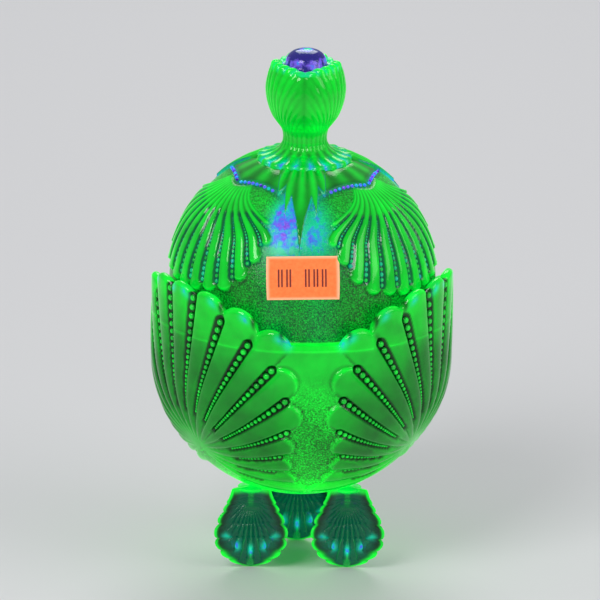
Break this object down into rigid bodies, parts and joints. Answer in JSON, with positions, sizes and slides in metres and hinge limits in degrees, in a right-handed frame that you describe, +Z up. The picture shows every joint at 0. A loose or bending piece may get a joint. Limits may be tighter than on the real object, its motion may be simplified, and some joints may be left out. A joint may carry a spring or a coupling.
{
  "type": "covered glass dish",
  "caption": "Pressed-glass covered dish: a round bowl with scallop-shell relief on shell feet, and a domed lid that lifts off by a shell finial.",
  "frame": {"origin": "on the ground, under the bowl's centre, where the dish stands on its feet", "axes": "+Z up along the dish's height; -Y faces the plain gap between two shells that the price label is over; +X to the right"},
  "size_m": [0.1012, 0.1006, 0.178],
  "materials": {
    "bowl_glass": "pressed uranium glass, fluorescing green, glossy with dark bead rows",
    "lid_glass": "pressed uranium glass, fluorescing green, glossy shells on a finely stippled ground",
    "label_paper": "matt orange label paper"
  },
  "bodies": {
    "dish": {"dish": "bowl_glass"},
    "lid": {"lid": "lid_glass", "price_label": "label_paper"}
  },
  "joints": [
    {"name": "lid_lift", "type": "slide", "parent": "dish", "child": "lid", "axis": [0, 0, 1], "range_m": [0, 0.12]}
  ]
}
